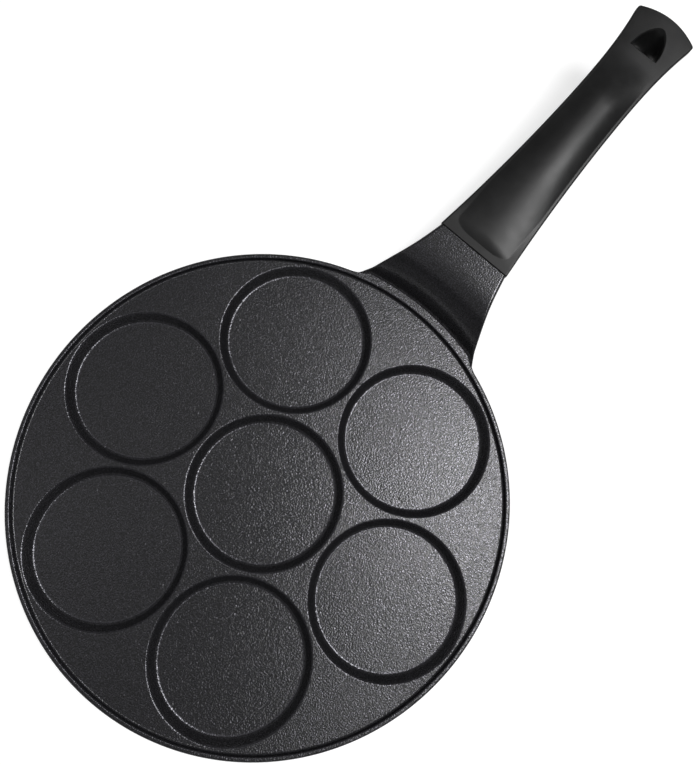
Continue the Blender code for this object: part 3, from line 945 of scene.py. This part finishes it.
@dataclass
class Neck:
    """The upswept neck, lofted from the rim's widened band to the seam."""

    disc: Disc
    line: GripLine
    seam_width: float
    seam_depth: float
    seam_fullness: float
    root_width: float = 0.0870
    taper: float = 0.0094
    flare_power: float = 3.2
    rise_power: float = 5.5
    edge_radius: float = 0.0018
    edge_run: float = 0.17
    step: float = 0.0004
    keel_power: float = 1.4
    lean_power: float = 3.0
    root_fullness: float = 4.0
    wall: float = 0.0040
    flank: float = 0.0085
    root_fillet: float = 0.0009
    sunk: float = 0.00002
    fit: float = 0.0003
    ear_overlap: float = 0.0085
    rise_share: float = 0.24
    rise_stations: int = 46
    slope_stations: int = 38
    pocket_stations: int = 24
    columns: int = 80

    def __post_init__(self) -> None:
        """Let the rim begin to narrow a little inside the neck's two sides."""
        side = asin(self.root_width / 2 / self.root)
        self.disc.ear_start = side - self.ear_overlap / self.disc.radius

    @property
    def root(self) -> float:
        """Distance from the pan's axis to the neck's first section, inside the rim."""
        return self.disc.radius - self.disc.rim_width / 2

    @property
    def run(self) -> float:
        """Length of the neck along the pan's radius."""
        return self.line.seam.x - self.fit - self.root

    def top(self, reach: float, ear: float) -> float:
        """Return the neck's top height.

        Args:
            reach: distance from the pan's axis.
            ear: how far the rim widens there.

        Returns:
            Height over the feet: along the band, a small hollow fillet, then a steep rise that
            bends into the line of the handle's top.
        """
        slope = tan(self.line.incline)
        band_end = self.disc.radius + ear - self.disc.rim_fillet / 2
        span = self.line.seam.x - band_end
        end_height = self.line.seam.z - self.step
        low = self.disc.rim_top - self.sunk

        def rising(at: float) -> float:
            """Return the height of the rise at a distance from the pan's axis.

            Args:
                at: the distance.

            Returns:
                The height.
            """
            left = max(0.0, self.line.seam.x - at)
            drop = end_height - slope * span - self.disc.rim_top
            return end_height - slope * left - drop * (left / span) ** self.rise_power

        if reach <= band_end - self.root_fillet:
            return low
        if reach < band_end + self.root_fillet:
            share = (reach - band_end + self.root_fillet) / (2 * self.root_fillet)
            return low + (rising(band_end + self.root_fillet) - low) * share * share
        return rising(reach)

    def half_width(self, share: float) -> float:
        """Return half the neck's width.

        Args:
            share: place from the root, 0, to the seam, 1.

        Returns:
            The half width.
        """
        end = self.seam_width / 2 - self.step
        flare = self.root_width / 2 - end - self.taper
        return end + self.taper * (1 - share) + flare * (1 - share) ** self.flare_power

    def bottom(self, share: float) -> float:
        """Return the neck's lowest height.

        Args:
            share: place from the root, 0, to the seam, 1.

        Returns:
            The height.
        """
        start = self.disc.skirt_lift + 2 * self.disc.edge_fillet
        end = self.line.seam.z - (self.seam_depth - self.step) * cos(self.line.incline)
        return start + (end - start) * share ** self.keel_power

    def station(self, share: float, hollow: bool) -> tuple[Ring, Ring]:
        """Return one section.

        Args:
            share: place from the root, 0, to the seam, 1.
            hollow: True gives the section of the cored hollow under the neck.

        Returns:
            The upper and the lower row of points.
        """
        reach = self.root + self.run * share
        blend = smoothstep(share)
        half_width = self.half_width(share) - (self.flank if hollow else 0.0)
        bottom = self.bottom(share)
        fullness = self.root_fullness + (self.seam_fullness - self.root_fullness) * blend
        lean = tan(self.line.incline) * blend ** self.lean_power
        draft = tan(self.disc.skirt_draft) * (1 - blend)
        rounding = self.edge_radius * blend
        upper, lower = [], []
        for place in edge_shares(self.columns):
            side = half_width * place
            curved = sqrt(reach * reach - side * side)
            ahead = curved + (reach - curved) * blend
            far = reach + (ahead - reach) * blend
            drop = edge_drop(side, half_width, self.edge_radius) * smoothstep(share / self.edge_run)
            top = self.top(far, self.disc.ear(atan2(side, ahead))) - drop
            base = top - rounding - (top - rounding - bottom) * belly(place, fullness)
            if hollow:
                top -= self.wall
                base = -self.disc.rim_top
            for row, height in ((upper, top), (lower, base)):
                place_x = ahead + lean * (self.line.seam.z - height) - draft * (top - height)
                row.append((place_x, side, height))
        return upper, lower

    def build(self) -> Thing:
        """Return the neck as one solid, from inside the rim to the seam.

        Returns:
            The neck.
        """
        shares = even(0.0, self.rise_share, self.rise_stations)[:-1]
        shares += even(self.rise_share, 1.0, self.slope_stations)
        return Solid().loft([self.station(share, False) for share in shares]).make("neck")

    def pocket(self) -> Thing:
        """Return the solid that the cored hollow under the neck is cut with.

        Returns:
            The solid.
        """
        first = (self.disc.rim_width / 2 + self.disc.ear_width + self.wall / 2) / self.run
        shares = even(first, 1 - 2 * self.wall / self.run, self.pocket_stations)
        return Solid().loft([self.station(share, True) for share in shares]).make("pocket")


@dataclass
class Tang:
    """The tongue of the casting inside the handle, and the socket round it."""

    line: GripLine
    length: float = 0.0460
    width: float = 0.0240
    thickness: float = 0.0080
    top_depth: float = 0.0042
    taper: float = 0.0030
    corner: float = 0.0015
    corner_facets: int = 5
    socket_lead: float = 0.0040
    socket_fit: float = 0.0004
    end_fit: float = 0.0010

    def bar(self, name: str, grow: float, start: float, end: float) -> Thing:
        """Return a tapered, round-cornered bar along the handle.

        Args:
            name: the object's name.
            grow: how much larger than the tang it is, all round.
            start: distance from the seam to its first end.
            end: distance from the seam to its far end.

        Returns:
            The bar.
        """
        rings = []
        for distance in (start, end):
            half = (self.width - self.taper * max(0.0, distance) / self.length) / 2 + grow
            top, bottom = grow - self.top_depth, -self.top_depth - self.thickness - grow
            corners = ((half, top), (-half, top), (-half, bottom), (half, bottom))
            ring = []
            befores, afters = (corners[-1], *corners), (*corners[1:], corners[0])
            for before, corner, after in zip(befores, corners, afters):
                ring += fillet_arc(corner, before, after, self.corner + grow, self.corner_facets)
            rings.append([self.line.point(distance, side, height) for side, height in ring])
        return Solid().rings(rings).make(name)


@dataclass
class Fastening:
    """The screw from below and the split spring washer under its head.

    recess_taper is the size of the recess's cross one head's height below the head, at the head's
    face and at its end.
    """

    line: GripLine
    tang: Tang
    distance: float = 0.0300
    radius: float = 0.0025
    head_radius: float = 0.0045
    head_height: float = 0.0026
    head_fillet: float = 0.0015
    bite: float = 0.0070
    chamfer: float = 0.0008
    recess_width: float = 0.0012
    recess_span: float = 0.0046
    recess_depth: float = 0.0016
    recess_taper: tuple[float, ...] = (1.25, 1.0, 0.62)
    thread_pitch: float = 0.0009
    thread_height: float = 0.0003
    washer_thickness: float = 0.0010
    washer_split: float = 0.0008
    seat_wall: float = 0.0027
    fit: float = 0.0003
    head_fit: float = 0.0008
    head_facets: int = 10
    thread_facets: int = 36
    crest_facets: int = 6
    segments: int = 72

    @property
    def tang_bottom(self) -> float:
        """Height of the tang's underside, in the handle's frame."""
        return -self.tang.top_depth - self.tang.thickness

    @property
    def seat(self) -> float:
        """Height of the face that the washer presses on."""
        return self.tang_bottom - self.tang.socket_fit - self.seat_wall

    @property
    def head_top(self) -> float:
        """Height of the face under the screw's head."""
        return self.seat - self.fit - self.washer_thickness - self.fit

    def stand(self, made: Thing, height: float = 0.0) -> Thing:
        """Put what was made about the upright axis on the screw's axis, raised by a height."""
        made.data.transform(self.line.matrix(self.distance, height))
        return made

    def turn(self, name: str, profile: Sequence[Pair]) -> Thing:
        """Turn (radius, height) pairs, from the lower end upwards, about the screw's axis."""
        return self.stand(spun(name, profile, self.segments))

    def bore(self, name: str, radius: float, low: float, high: float) -> Thing:
        """Return a plain cylinder about the screw's axis, to cut with."""
        return self.turn(name, [(radius, low), (radius, high)])

    def recess(self) -> Thing:
        """Return the tapered cross that the screwdriver's recess is cut with.

        Returns:
            The cross.
        """
        rings = []
        bottom = self.head_top - self.head_height
        levels = (bottom - self.head_height, bottom, bottom + self.recess_depth)
        for height, size in zip(levels, self.recess_taper):
            long, wide = self.recess_span / 2 * size, self.recess_width / 2 * (1 + size) / 2
            arm = ((long, -wide), (long, wide), (wide, wide))
            rings.append([(along * cos(turn) - across * sin(turn),
                           along * sin(turn) + across * cos(turn), height)
                          for turn in around(4) for along, across in arm])
        return self.stand(Solid().rings(rings).make("recess"))

    def thread(self, steel: Paint) -> Thing:
        """Wind the screw's thread with a Geometry Nodes spiral.

        Args:
            steel: its finish.

        Returns:
            The thread.
        """
        turns = (self.bite + self.seat_wall - 2 * self.thread_pitch) / self.thread_pitch
        tree = GeometryTree(
            "screw_thread", Radius=self.radius - self.thread_height / 2, Turns=turns,
            Pitch=self.thread_pitch, Crest=self.thread_height)
        radius, rotations = tree.given("Radius"), tree.given("Turns")
        spiral = tree.bench.out("GeometryNodeCurveSpiral", sockets={
            "Resolution": self.thread_facets, "Rotations": rotations, "Start Radius": radius,
            "End Radius": radius, "Height": rotations * tree.given("Pitch")})
        crest = tree.bench.out("GeometryNodeCurvePrimitiveCircle", sockets={
            "Resolution": self.crest_facets, "Radius": tree.given("Crest")})
        start = self.tang_bottom + self.bite - self.chamfer - self.thread_pitch * (turns + 0.5)
        return self.stand(tree.sweep("thread", spiral, crest, steel), start)

    def build_screw(self, steel: Paint) -> Thing:
        """Return the screw: pan head with a cross recess, shank and thread.

        Args:
            steel: its finish.

        Returns:
            The screw.
        """
        low, high = self.head_top - self.head_height, self.tang_bottom + self.bite
        rim, corner = (self.head_radius, self.head_top), (self.head_radius, low)
        shank = self.radius - self.thread_height
        screw = self.turn("screw", [
            *fillet_arc(corner, (0.0, low), rim, self.head_fillet, self.head_facets), rim,
            (shank, self.head_top), (shank, high - self.chamfer), (shank - self.chamfer, high)])
        return carve(screw, steel, (Cut.REMOVE, self.recess()), (Cut.JOIN, self.thread(steel)))

    def build_washer(self, steel: Paint) -> Thing:
        """Return the washer: a flat bar bent round by Geometry Nodes, with its two ends apart.

        Args:
            steel: its finish.

        Returns:
            The washer.
        """
        inner, outer = self.radius + self.fit, self.head_radius
        split = self.washer_split / inner
        tree = GeometryTree("split_ring", Radius=(inner + outer) / 2, Width=outer - inner,
                            Thickness=self.washer_thickness, Start=split / 2, Sweep=2 * pi - split)
        arc = tree.bench.out("GeometryNodeCurveArc", {"mode": "RADIUS"}, {
            "Resolution": self.segments, "Radius": tree.given("Radius"),
            "Start Angle": tree.given("Start"), "Sweep Angle": tree.given("Sweep")})
        bar = tree.bench.out("GeometryNodeCurvePrimitiveQuadrilateral", {"mode": "RECTANGLE"}, {
            "Width": tree.given("Width"), "Height": tree.given("Thickness")})
        middle = self.seat - self.fit - self.washer_thickness / 2
        return smooth(self.stand(tree.sweep("washer", arc, bar, steel), middle))


@dataclass
class Casting:
    """Plate, rim, skirt, moulds, feet, neck and tang, cast in one piece and coated."""

    neck: Neck
    tang: Tang
    fastening: Fastening

    def build(self, coating: Paint) -> Thing:
        """Join the casting's solids, cut its hollows and coat it.

        Args:
            coating: its finish.

        Returns:
            The casting.
        """
        neck, disc, fastening = self.neck, self.neck.disc, self.fastening
        return carve(
            disc.build(), coating,
            (Cut.JOIN, disc.moulds.feet(disc.underside + disc.plate_thickness / 2)),
            (Cut.JOIN, neck.build()),
            (Cut.JOIN, self.tang.bar("tang", 0.0, -neck.wall, self.tang.length)),
            (Cut.REMOVE, disc.moulds.hollows(disc.rim_top + disc.rim_height)),
            (Cut.REMOVE, neck.pocket()),
            (Cut.REMOVE, fastening.bore("tapped_hole", fastening.radius + fastening.fit,
                                        fastening.tang_bottom - fastening.fit, 0.0)))


# The handle


@dataclass
class Handle:
    """The moulded handle with its raised crown, hanging hole, socket and screw seat."""

    line: GripLine
    tang: Tang
    fastening: Fastening | None = None
    length: float = 0.1732
    seam_width: float = 0.0468
    waist_width: float = 0.0318
    end_width: float = 0.0388
    waist_distance: float = 0.1180
    taper_power: float = 1.8
    flare_power: float = 2.3
    end_bulge: float = 0.0042
    bulge_power: float = 6.0
    end_depth: float = 0.0135
    depth_power: float = 1.3
    fullness: float = 2.4
    side_height: float = 0.0030
    edge_radius: float = 0.0010
    camber: float = 0.0010
    camber_run: float = 0.0200
    crown_rise: float = 0.0031
    crown_fullness: float = 2.0
    front_border: float = 0.0046
    side_border: float = 0.0019
    border_run: float = 0.0360
    crown_start: float = 0.0042
    crown_ramp: float = 0.0070
    crown_front: float = 0.33
    crown_growth: float = 0.0900
    crown_corner: float = 2.9
    crown_fade: float = 0.0340
    crown_gap: float = 0.0058
    hole_margin: float = 0.0089
    hole_length: float = 0.0165
    hole_width: float = 0.0170
    hole_arch: float = 1.65
    hole_chamfer: float = 0.0010
    exit_length: float = 0.0082
    exit_width: float = 0.0130
    head_sink: float = 0.0010
    end_turn: int = 15
    ramp_stations: int = 20
    body_stations: int = 110
    hole_facets: int = 48
    chamfer_facets: int = 5
    columns: int = 96
    seam_depth: float = field(init=False)

    def __post_init__(self) -> None:
        """Work out the depth at the seam at which the screw's head sinks into the handle."""
        self.fastening = self.fastening or Fastening(self.line, self.tang)
        share = (1 - self.fastening.distance / self.length) ** self.depth_power
        head_bottom = self.fastening.head_top - self.fastening.head_height
        self.seam_depth = self.end_depth + (self.head_sink - head_bottom - self.end_depth) / share

    @property
    def hole_distance(self) -> float:
        """Distance from the seam to the hanging hole's flat side."""
        return self.length - self.hole_margin - self.hole_length

    def half_width(self, distance: float) -> float:
        """Return half the handle's width: wide at the seam, narrow at the waist, wide at the end.

        Args:
            distance: from the seam, along the handle.

        Returns:
            The half width.
        """
        waist = self.waist_width / 2
        if distance < self.waist_distance:
            share = 1 - distance / self.waist_distance
            return waist + (self.seam_width / 2 - waist) * share ** self.taper_power
        flare = self.length - self.end_bulge - self.waist_distance
        share = min((distance - self.waist_distance) / flare, 1.0)
        return waist + (self.end_width / 2 - waist) * share ** self.flare_power

    def depth(self, distance: float) -> float:
        """Return the handle's depth under its top edge."""
        share = (1 - distance / self.length) ** self.depth_power
        return self.end_depth + (self.seam_depth - self.end_depth) * share

    def eased(self, distance: float, run: float) -> float:
        """Return a share that grows from 0 where the crown starts to 1 over a run behind it."""
        return smoothstep((distance - self.crown_start) / run)

    def border(self, distance: float) -> float:
        """Return the width of the plain border beside the crown, which narrows behind its front."""
        narrowed = self.eased(distance, self.border_run)
        return self.front_border + (self.side_border - self.front_border) * narrowed

    def arch(self, distance: float, side: float, half_width: float) -> float:
        """Return how far the handle's top falls away to its sides, behind its flat front."""
        return self.camber * (side / half_width) ** 2 * self.eased(distance, self.camber_run)

    def crown(self, distance: float, side: float, half_width: float) -> float:
        """Return how far the raised crown stands above the handle's border.

        Args:
            distance: from the seam, along the handle.
            side: from the handle's middle plane.
            half_width: half the handle's width there.

        Returns:
            The crown's height, which is 0 on the border.
        """
        aside = abs(side) / (half_width - self.border(distance))
        before = 1 - min(1.0, max(0.0, distance - self.crown_start) / self.crown_ramp)
        corner = self.crown_corner
        outward = (aside ** corner + before ** corner) ** (1 / corner)
        fade = smoothstep((self.hole_distance - self.crown_gap - distance) / self.crown_fade)
        grown = self.eased(distance, self.crown_growth)
        rise = self.crown_rise * (self.crown_front + (1 - self.crown_front) * grown) * fade
        return rise * max(0.0, 1 - outward ** self.crown_fullness)

    def station(self, distance: float, shrink: float) -> tuple[Ring, Ring]:
        """Return one section.

        Args:
            distance: from the seam, along the handle.
            shrink: how much smaller the section is all round, where an end is rounded.

        Returns:
            The upper and the lower row of points.
        """
        half_width = self.half_width(distance) - shrink
        depth = self.depth(distance) - self.side_height - shrink
        upper, lower = [], []
        for place in edge_shares(self.columns):
            side = half_width * place
            curve = self.end_bulge * place * place * (distance / self.length) ** self.bulge_power
            drop = edge_drop(side, half_width, self.edge_radius)
            rise = self.crown(distance, side, half_width) - self.arch(distance, side, half_width)
            top = rise - drop - shrink
            base = -self.side_height - depth * belly(place, self.fullness)
            for row, height in ((upper, top), (lower, base)):
                row.append(self.line.point(distance - curve, side, height))
        return upper, lower

    def stations(self) -> list[tuple[float, float]]:
        """Return the places of the sections, closer together at both ends.

        Returns:
            The (distance, shrink) of each section.
        """
        corner = self.edge_radius
        end = self.crown_start + self.crown_ramp
        arc = [radians(degrees) for degrees in range(0, 91, self.end_turn)]
        start = [(corner * (1 - cos(turn)) / 2, corner * (1 - sin(turn)) / 2) for turn in arc]
        body = [self.crown_start + self.crown_ramp * share
                for share in even(0.0, 1.0, self.ramp_stations)]
        body += even(end, self.length - 2 * corner, self.body_stations)[1:]
        tip = [(self.length - corner * (1 - sin(turn)), corner * (1 - cos(turn))) for turn in arc]
        return start + [(distance, 0.0) for distance in body] + tip

    def hole(self) -> Thing:
        """Return the solid that the hanging hole is cut with, narrower on its way down.

        Returns:
            The solid.
        """
        chamfer = self.hole_chamfer
        mouth, leaving = (self.hole_length, self.hole_width), (self.exit_length, self.exit_width)
        levels = [(2 * chamfer, *mouth, 2 * chamfer)]
        for turn in even(0.0, pi / 2, self.chamfer_facets):
            levels.append((-chamfer * sin(turn), *mouth, chamfer * (1 - sin(turn))))
        levels += [(-self.end_depth, *leaving, 0.0), (-2 * self.end_depth, *leaving, 0.0)]
        rings = []
        for height, length, width, grow in levels:
            ring = []
            for turn in even(0.0, pi, self.hole_facets):
                across = cos(turn)
                rise = (length + 2 * grow) * sqrt(max(0.0, 1 - abs(across) ** self.hole_arch))
                ring.append(self.line.point(
                    self.hole_distance - grow + rise, (width / 2 + grow) * across, height))
            rings.append(ring)
        return Solid().rings(rings).make("hanging_hole")

    def build(self, bakelite: Paint) -> Thing:
        """Loft the handle and cut its socket, screw seat and hanging hole.

        Args:
            bakelite: its finish.

        Returns:
            The handle.
        """
        fastening, tang = self.fastening, self.tang
        below = -2 * self.seam_depth
        stations = [self.station(distance, shrink) for distance, shrink in self.stations()]
        return carve(
            Solid().loft(stations).make("grip"), bakelite,
            (Cut.REMOVE, tang.bar(
                "socket", tang.socket_fit, -tang.socket_lead, tang.length + tang.end_fit)),
            (Cut.REMOVE, fastening.bore(
                "shank_hole", fastening.radius + fastening.fit, below, fastening.tang_bottom)),
            (Cut.REMOVE, fastening.bore(
                "head_hole", fastening.head_radius + fastening.head_fit, below, fastening.seat)),
            (Cut.REMOVE, self.hole()))


# The studio


@dataclass(frozen=True)
class Softbox:
    """One rectangular studio lamp, aimed at the pan."""

    name: str
    azimuth: float
    off_vertical: float
    distance: float
    width: float
    length: float
    radiance: float

    def place(self, target: Vector) -> None:
        """Add the lamp, with the power that gives its face its radiance.

        Args:
            target: what it is aimed at.
        """
        lamp = bpy.data.lights.new(self.name, "AREA")
        lamp.shape, lamp.size, lamp.size_y = "RECTANGLE", self.width, self.length
        lamp.energy = self.radiance * pi * self.width * self.length
        made = bpy.data.objects.new(self.name, lamp)
        bpy.context.scene.collection.objects.link(made)
        azimuth, tilt = radians(self.azimuth), radians(self.off_vertical)
        towards = Vector((sin(tilt) * cos(azimuth), sin(tilt) * sin(azimuth), cos(tilt)))
        made.location = target + towards * self.distance
        made.rotation_euler = towards.to_track_quat("Z", "Y").to_euler()


@dataclass
class Studio:
    """White floor with a low cove, and softboxes of different sizes in a dim room."""

    floor_height: float = -0.0004
    floor_radius: float = 3.2
    cove_radius: float = 1.0
    wall_height: float = 2.2
    room: float = 0.10
    hub: float = 0.001
    thickness: float = 0.02
    cove_facets: int = 16
    segments: int = 96
    target: Point = (0.05, 0.0, 0.0)
    lamps: tuple[Softbox, ...] = (
        Softbox("softbox", -45.2, 22.0, 8.0, 1.90, 2.25, 18.2),
        Softbox("strip", -53.0, 12.9, 8.2, 7.40, 1.40, 5.9),
        Softbox("fill", 132.0, 26.0, 4.0, 1.20, 1.20, 0.60),
        Softbox("side_fill", 55.0, 14.0, 8.4, 3.40, 3.40, 0.24),
        Softbox("ceiling", 0.0, 0.0, 9.0, 10.0, 10.0, 0.26))

    def build(self) -> None:
        """Build the floor and cove, and light the room."""
        curve = [(self.floor_radius - self.cove_radius + self.cove_radius * sin(turn),
                  self.floor_height + self.cove_radius * (1 - cos(turn)))
                 for turn in even(0.0, pi / 2, self.cove_facets)]
        inside = [(self.hub, self.floor_height), *curve, (self.floor_radius, self.wall_height)]
        outside = [(radius + self.thickness, height - self.thickness)
                   for radius, height in reversed(inside)]
        rings = turned(inside + outside, around(self.segments))[::-1]
        smooth(Solid().rings(rings, closed=True).make("floor", StudioWhite().make()))
        for lamp in self.lamps:
            lamp.place(Vector(self.target))
        world = bpy.data.worlds.new("room")
        world.use_nodes = True
        colour = world.node_tree.nodes["Background"].inputs["Color"]
        colour.default_value = (self.room, self.room, self.room, 1.0)
        bpy.context.scene.world = world
        bpy.context.scene.view_settings.view_transform = "Standard"


@dataclass
class PhotoCamera:
    """The photograph's camera, fitted to the moulds and the rim."""

    place: Point = (0.0000575, -0.0176611, 0.401945)
    right: Point = (0.64771633, -0.75772579, 0.07946814)
    up: Point = (0.73833372, 0.65000499, 0.17988003)
    focal_pixels: float = 716.8
    long_side_pixels: float = 765.0
    sensor: float = 36.0
    clip: Pair = (0.01, 20.0)

    def build(self) -> None:
        """Add the camera and make it the scene's own."""
        data = bpy.data.cameras.new("photo_camera")
        data.sensor_fit, data.sensor_width = "AUTO", self.sensor
        data.lens = self.focal_pixels / self.long_side_pixels * self.sensor
        data.clip_start, data.clip_end = self.clip
        camera = bpy.data.objects.new("photo_camera", data)
        bpy.context.scene.collection.objects.link(camera)
        right = Vector(self.right).normalized()
        back = right.cross(Vector(self.up)).normalized()
        turned_axes = Matrix((right, back.cross(right), back)).transposed().to_4x4()
        camera.matrix_world = Matrix.Translation(self.place) @ turned_axes
        bpy.context.scene.camera = camera


def main() -> None:
    """Build the pan's four pieces, the studio and the camera."""
    logging.basicConfig(level=logging.INFO, format="%(name)s %(message)s")
    disc = Disc(Moulds())
    line = GripLine(disc)
    tang = Tang(line)
    handle = Handle(line, tang)
    neck = Neck(disc, line, handle.seam_width, handle.seam_depth, handle.fullness)
    casting = Casting(neck, tang, handle.fastening)
    steel = PlatedSteel().make()
    hand_over(casting.build(Coating(disc).make()), "pan_casting", Slot.COATING)
    hand_over(handle.build(Bakelite().make()), "handle_grip", Slot.BAKELITE)
    hand_over(handle.fastening.build_screw(steel), "handle_screw", Slot.STEEL)
    hand_over(handle.fastening.build_washer(steel), "spring_washer", Slot.STEEL)
    Studio().build()
    PhotoCamera().build()


if __name__ == "__main__":
    main()
